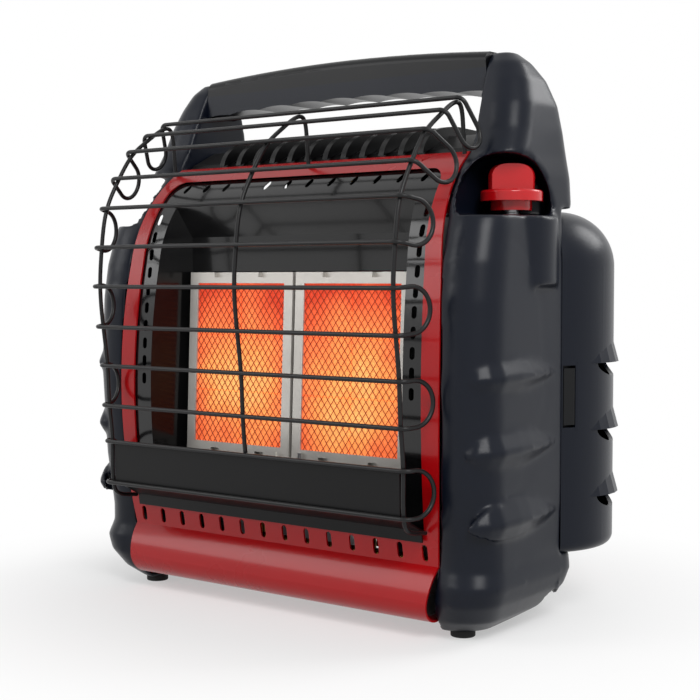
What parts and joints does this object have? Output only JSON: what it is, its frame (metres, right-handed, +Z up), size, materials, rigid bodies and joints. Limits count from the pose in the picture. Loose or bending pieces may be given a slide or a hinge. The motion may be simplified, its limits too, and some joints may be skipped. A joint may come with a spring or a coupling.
{
  "type": "portable propane heater",
  "caption": "Portable radiant propane heater with glowing burner tiles behind a wire guard, carry handle, control knob and two swing-door cylinder bays.",
  "frame": {"origin": "on the floor, under the middle of the bounding box", "axes": "+X to the knob's side, +Y to the back, +Z up; the guard faces -Y"},
  "size_m": [0.4178, 0.2833, 0.43],
  "materials": {
    "casing_plastic": "fine-grained satin moulding",
    "handle_plastic": "satin moulding",
    "latch_plastic": "satin moulding",
    "pin_steel": "bright zinc",
    "red_paint": "glossy enamel",
    "knob_plastic": "glossy moulding",
    "black_sheet": "heat-resistant satin enamel",
    "guard_coating": "satin black coating over wire",
    "tile_ceramic": "porous ceramic under a glowing wire mesh",
    "burner_steel": "aluminised sheet",
    "zinc_sheet": "galvanised sheet",
    "housing_plastic": "satin moulding",
    "brass_fitting": "machined",
    "regulator_alloy": "die cast",
    "spring_steel": "bright wire",
    "hose_rubber": "smooth",
    "feet_rubber": "moulded",
    "electrode_ceramic": "glazed"
  },
  "bodies": {
    "heater": {"base_pan": "zinc_sheet", "burner_frame_left": "burner_steel", "burner_frame_right": "burner_steel", "burner_plenum_left": "burner_steel", "burner_plenum_right": "burner_steel", "burner_tile_left": "tile_ceramic", "burner_tile_right": "tile_ceramic", "chassis_wall_left": "zinc_sheet", "chassis_wall_right": "zinc_sheet", "control_valve": "brass_fitting", "door_hinge_pin_left": "pin_steel", "door_hinge_pin_right": "pin_steel", "fan_housing": "housing_plastic", "fan_motor": "pin_steel", "firebox_liner": "black_sheet", "front_panel": "red_paint", "gas_manifold": "brass_fitting", "guard_hoop_1": "guard_coating", "guard_hoop_2": "guard_coating", "guard_hoop_3": "guard_coating", "guard_hoop_4": "guard_coating", "guard_hoop_5": "guard_coating", "guard_hoop_6": "guard_coating", "guard_upright_left": "guard_coating", "guard_upright_middle": "guard_coating", "guard_upright_right": "guard_coating", "handle_bar": "handle_plastic", "handle_grip": "casing_plastic", "heat_shield": "burner_steel", "igniter_electrode": "electrode_ceramic", "lower_guard_plate": "black_sheet", "piezo_igniter": "housing_plastic", "pilot_burner": "burner_steel", "rear_panel": "red_paint", "rear_screws": "pin_steel", "return_spring": "spring_steel", "rubber_feet": "feet_rubber", "side_casing_left": "casing_plastic", "side_casing_right": "casing_plastic", "supply_hose_left": "hose_rubber", "supply_hose_right": "hose_rubber", "swivel_left": "brass_fitting", "swivel_right": "brass_fitting", "thermocouple": "burner_steel", "tip_over_switch": "housing_plastic", "top_grille": "black_sheet", "venturi_tube_left": "burner_steel", "venturi_tube_right": "burner_steel"},
    "door_right": {"cylinder_door_right": "casing_plastic"},
    "door_left": {"cylinder_door_left": "casing_plastic"},
    "latch_right": {"door_latch_right": "latch_plastic"},
    "latch_left": {"door_latch_left": "latch_plastic"},
    "stem": {"valve_stem": "pin_steel"},
    "knob": {"control_knob": "knob_plastic"},
    "regulator_right": {"regulator_right": "regulator_alloy"},
    "regulator_left": {"regulator_left": "regulator_alloy"},
    "fan": {"fan_rotor": "housing_plastic"},
    "battery_lid": {"battery_cover": "housing_plastic"},
    "fan_rocker": {"fan_switch": "housing_plastic"}
  },
  "joints": [
    {"name": "right_door_swing", "type": "hinge", "parent": "heater", "child": "door_right", "pos_m": [0.106, 0.109, 0.17], "axis": [0, 0, 1], "range_deg": [0, 110]},
    {"name": "left_door_swing", "type": "hinge", "parent": "heater", "child": "door_left", "pos_m": [-0.106, 0.109, 0.17], "axis": [0, 0, -1], "range_deg": [0, 110]},
    {"name": "right_latch_press", "type": "slide", "parent": "door_right", "child": "latch_right", "axis": [-0.8039, 0.5948, 0], "range_m": [0, 0.0025], "stiffness_N_per_m": 400, "springref_m": -0.001},
    {"name": "left_latch_press", "type": "slide", "parent": "door_left", "child": "latch_left", "axis": [0.8039, 0.5948, 0], "range_m": [0, 0.0025], "stiffness_N_per_m": 400, "springref_m": -0.001},
    {"name": "stem_press", "type": "slide", "parent": "heater", "child": "stem", "axis": [0, 0, -1], "range_m": [0, 0.004], "stiffness_N_per_m": 600, "springref_m": -0.002, "deforming": ["return_spring"]},
    {"name": "knob_turn", "type": "hinge", "parent": "stem", "child": "knob", "pos_m": [0.168, -0.022, 0.309], "axis": [0, 0, -1], "range_deg": [0, 270]},
    {"name": "right_regulator_tilt", "type": "hinge", "parent": "heater", "child": "regulator_right", "pos_m": [0.14, 0.047, 0.287], "axis": [0.6587, -0.7524, 0], "range_deg": [0, 45]},
    {"name": "left_regulator_tilt", "type": "hinge", "parent": "heater", "child": "regulator_left", "pos_m": [-0.14, 0.047, 0.287], "axis": [0.6587, 0.7524, 0], "range_deg": [0, 45]},
    {"name": "fan_spin", "type": "hinge", "parent": "heater", "child": "fan", "pos_m": [0, 0.115, 0.19], "axis": [0, 1, 0], "continuous": true},
    {"name": "battery_lid_open", "type": "hinge", "parent": "heater", "child": "battery_lid", "pos_m": [0, 0.14165, 0.0444], "axis": [-1, 0, 0], "range_deg": [0, 90]},
    {"name": "fan_rocker_tip", "type": "hinge", "parent": "heater", "child": "fan_rocker", "pos_m": [-0.168, -0.022, 0.294], "axis": [1, 0, 0], "range_deg": [-10, 10]}
  ]
}
